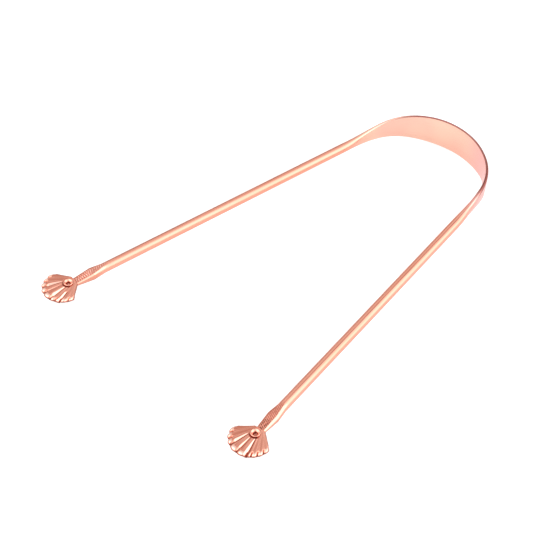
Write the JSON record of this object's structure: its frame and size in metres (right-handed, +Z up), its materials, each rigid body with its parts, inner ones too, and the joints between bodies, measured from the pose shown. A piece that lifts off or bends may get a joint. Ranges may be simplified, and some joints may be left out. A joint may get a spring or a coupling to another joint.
{
  "type": "tongue scraper",
  "caption": "Copper tongue scraper: a springy U-shaped bow with a thin curved scraping edge, and shell-shaped finger rests riveted to the ends of its arms.",
  "frame": {"origin": "middle of the scraper's bounding box, level with the blade's lower edge, which is its lowest place", "axes": "+X along the scraper towards its bend, +Y towards the left arm, +Z up, across the blade's height"},
  "size_m": [0.1389, 0.0914, 0.0111],
  "materials": {
    "bow_copper": "polished solid copper, bare",
    "shell_copper": "pressed copper sheet, polished crests and darker grooves",
    "rivet_copper": "copper rivet, polished by handling"
  },
  "bodies": {
    "blade": {"scraping_blade": "bow_copper"},
    "left_arm": {"left_arm": "bow_copper", "left_rivet": "rivet_copper"},
    "left_shell": {"left_finger_shell": "shell_copper"},
    "right_arm": {"right_arm": "bow_copper", "right_rivet": "rivet_copper"},
    "right_shell": {"right_finger_shell": "shell_copper"}
  },
  "joints": [
    {"name": "left_arm_spring", "type": "hinge", "parent": "blade", "child": "left_arm", "pos_m": [0.06612, 0.01199, 0.00555], "axis": [0, 0, 1], "range_deg": [-5, 6], "stiffness_Nm_per_rad": 1.4, "deforming": ["scraping_blade"]},
    {"name": "right_arm_spring", "type": "hinge", "parent": "blade", "child": "right_arm", "pos_m": [0.06612, -0.01199, 0.00555], "axis": [0, 0, -1], "range_deg": [-5, 6], "stiffness_Nm_per_rad": 1.4, "deforming": ["scraping_blade"]},
    {"name": "left_shell_swivel", "type": "hinge", "parent": "left_arm", "child": "left_shell", "pos_m": [-0.06127, 0.03913, 0.00555], "axis": [0, 0, 1], "range_deg": [-10, 10]},
    {"name": "right_shell_swivel", "type": "hinge", "parent": "right_arm", "child": "right_shell", "pos_m": [-0.06127, -0.03913, 0.00555], "axis": [0, 0, -1], "range_deg": [-10, 10]}
  ]
}
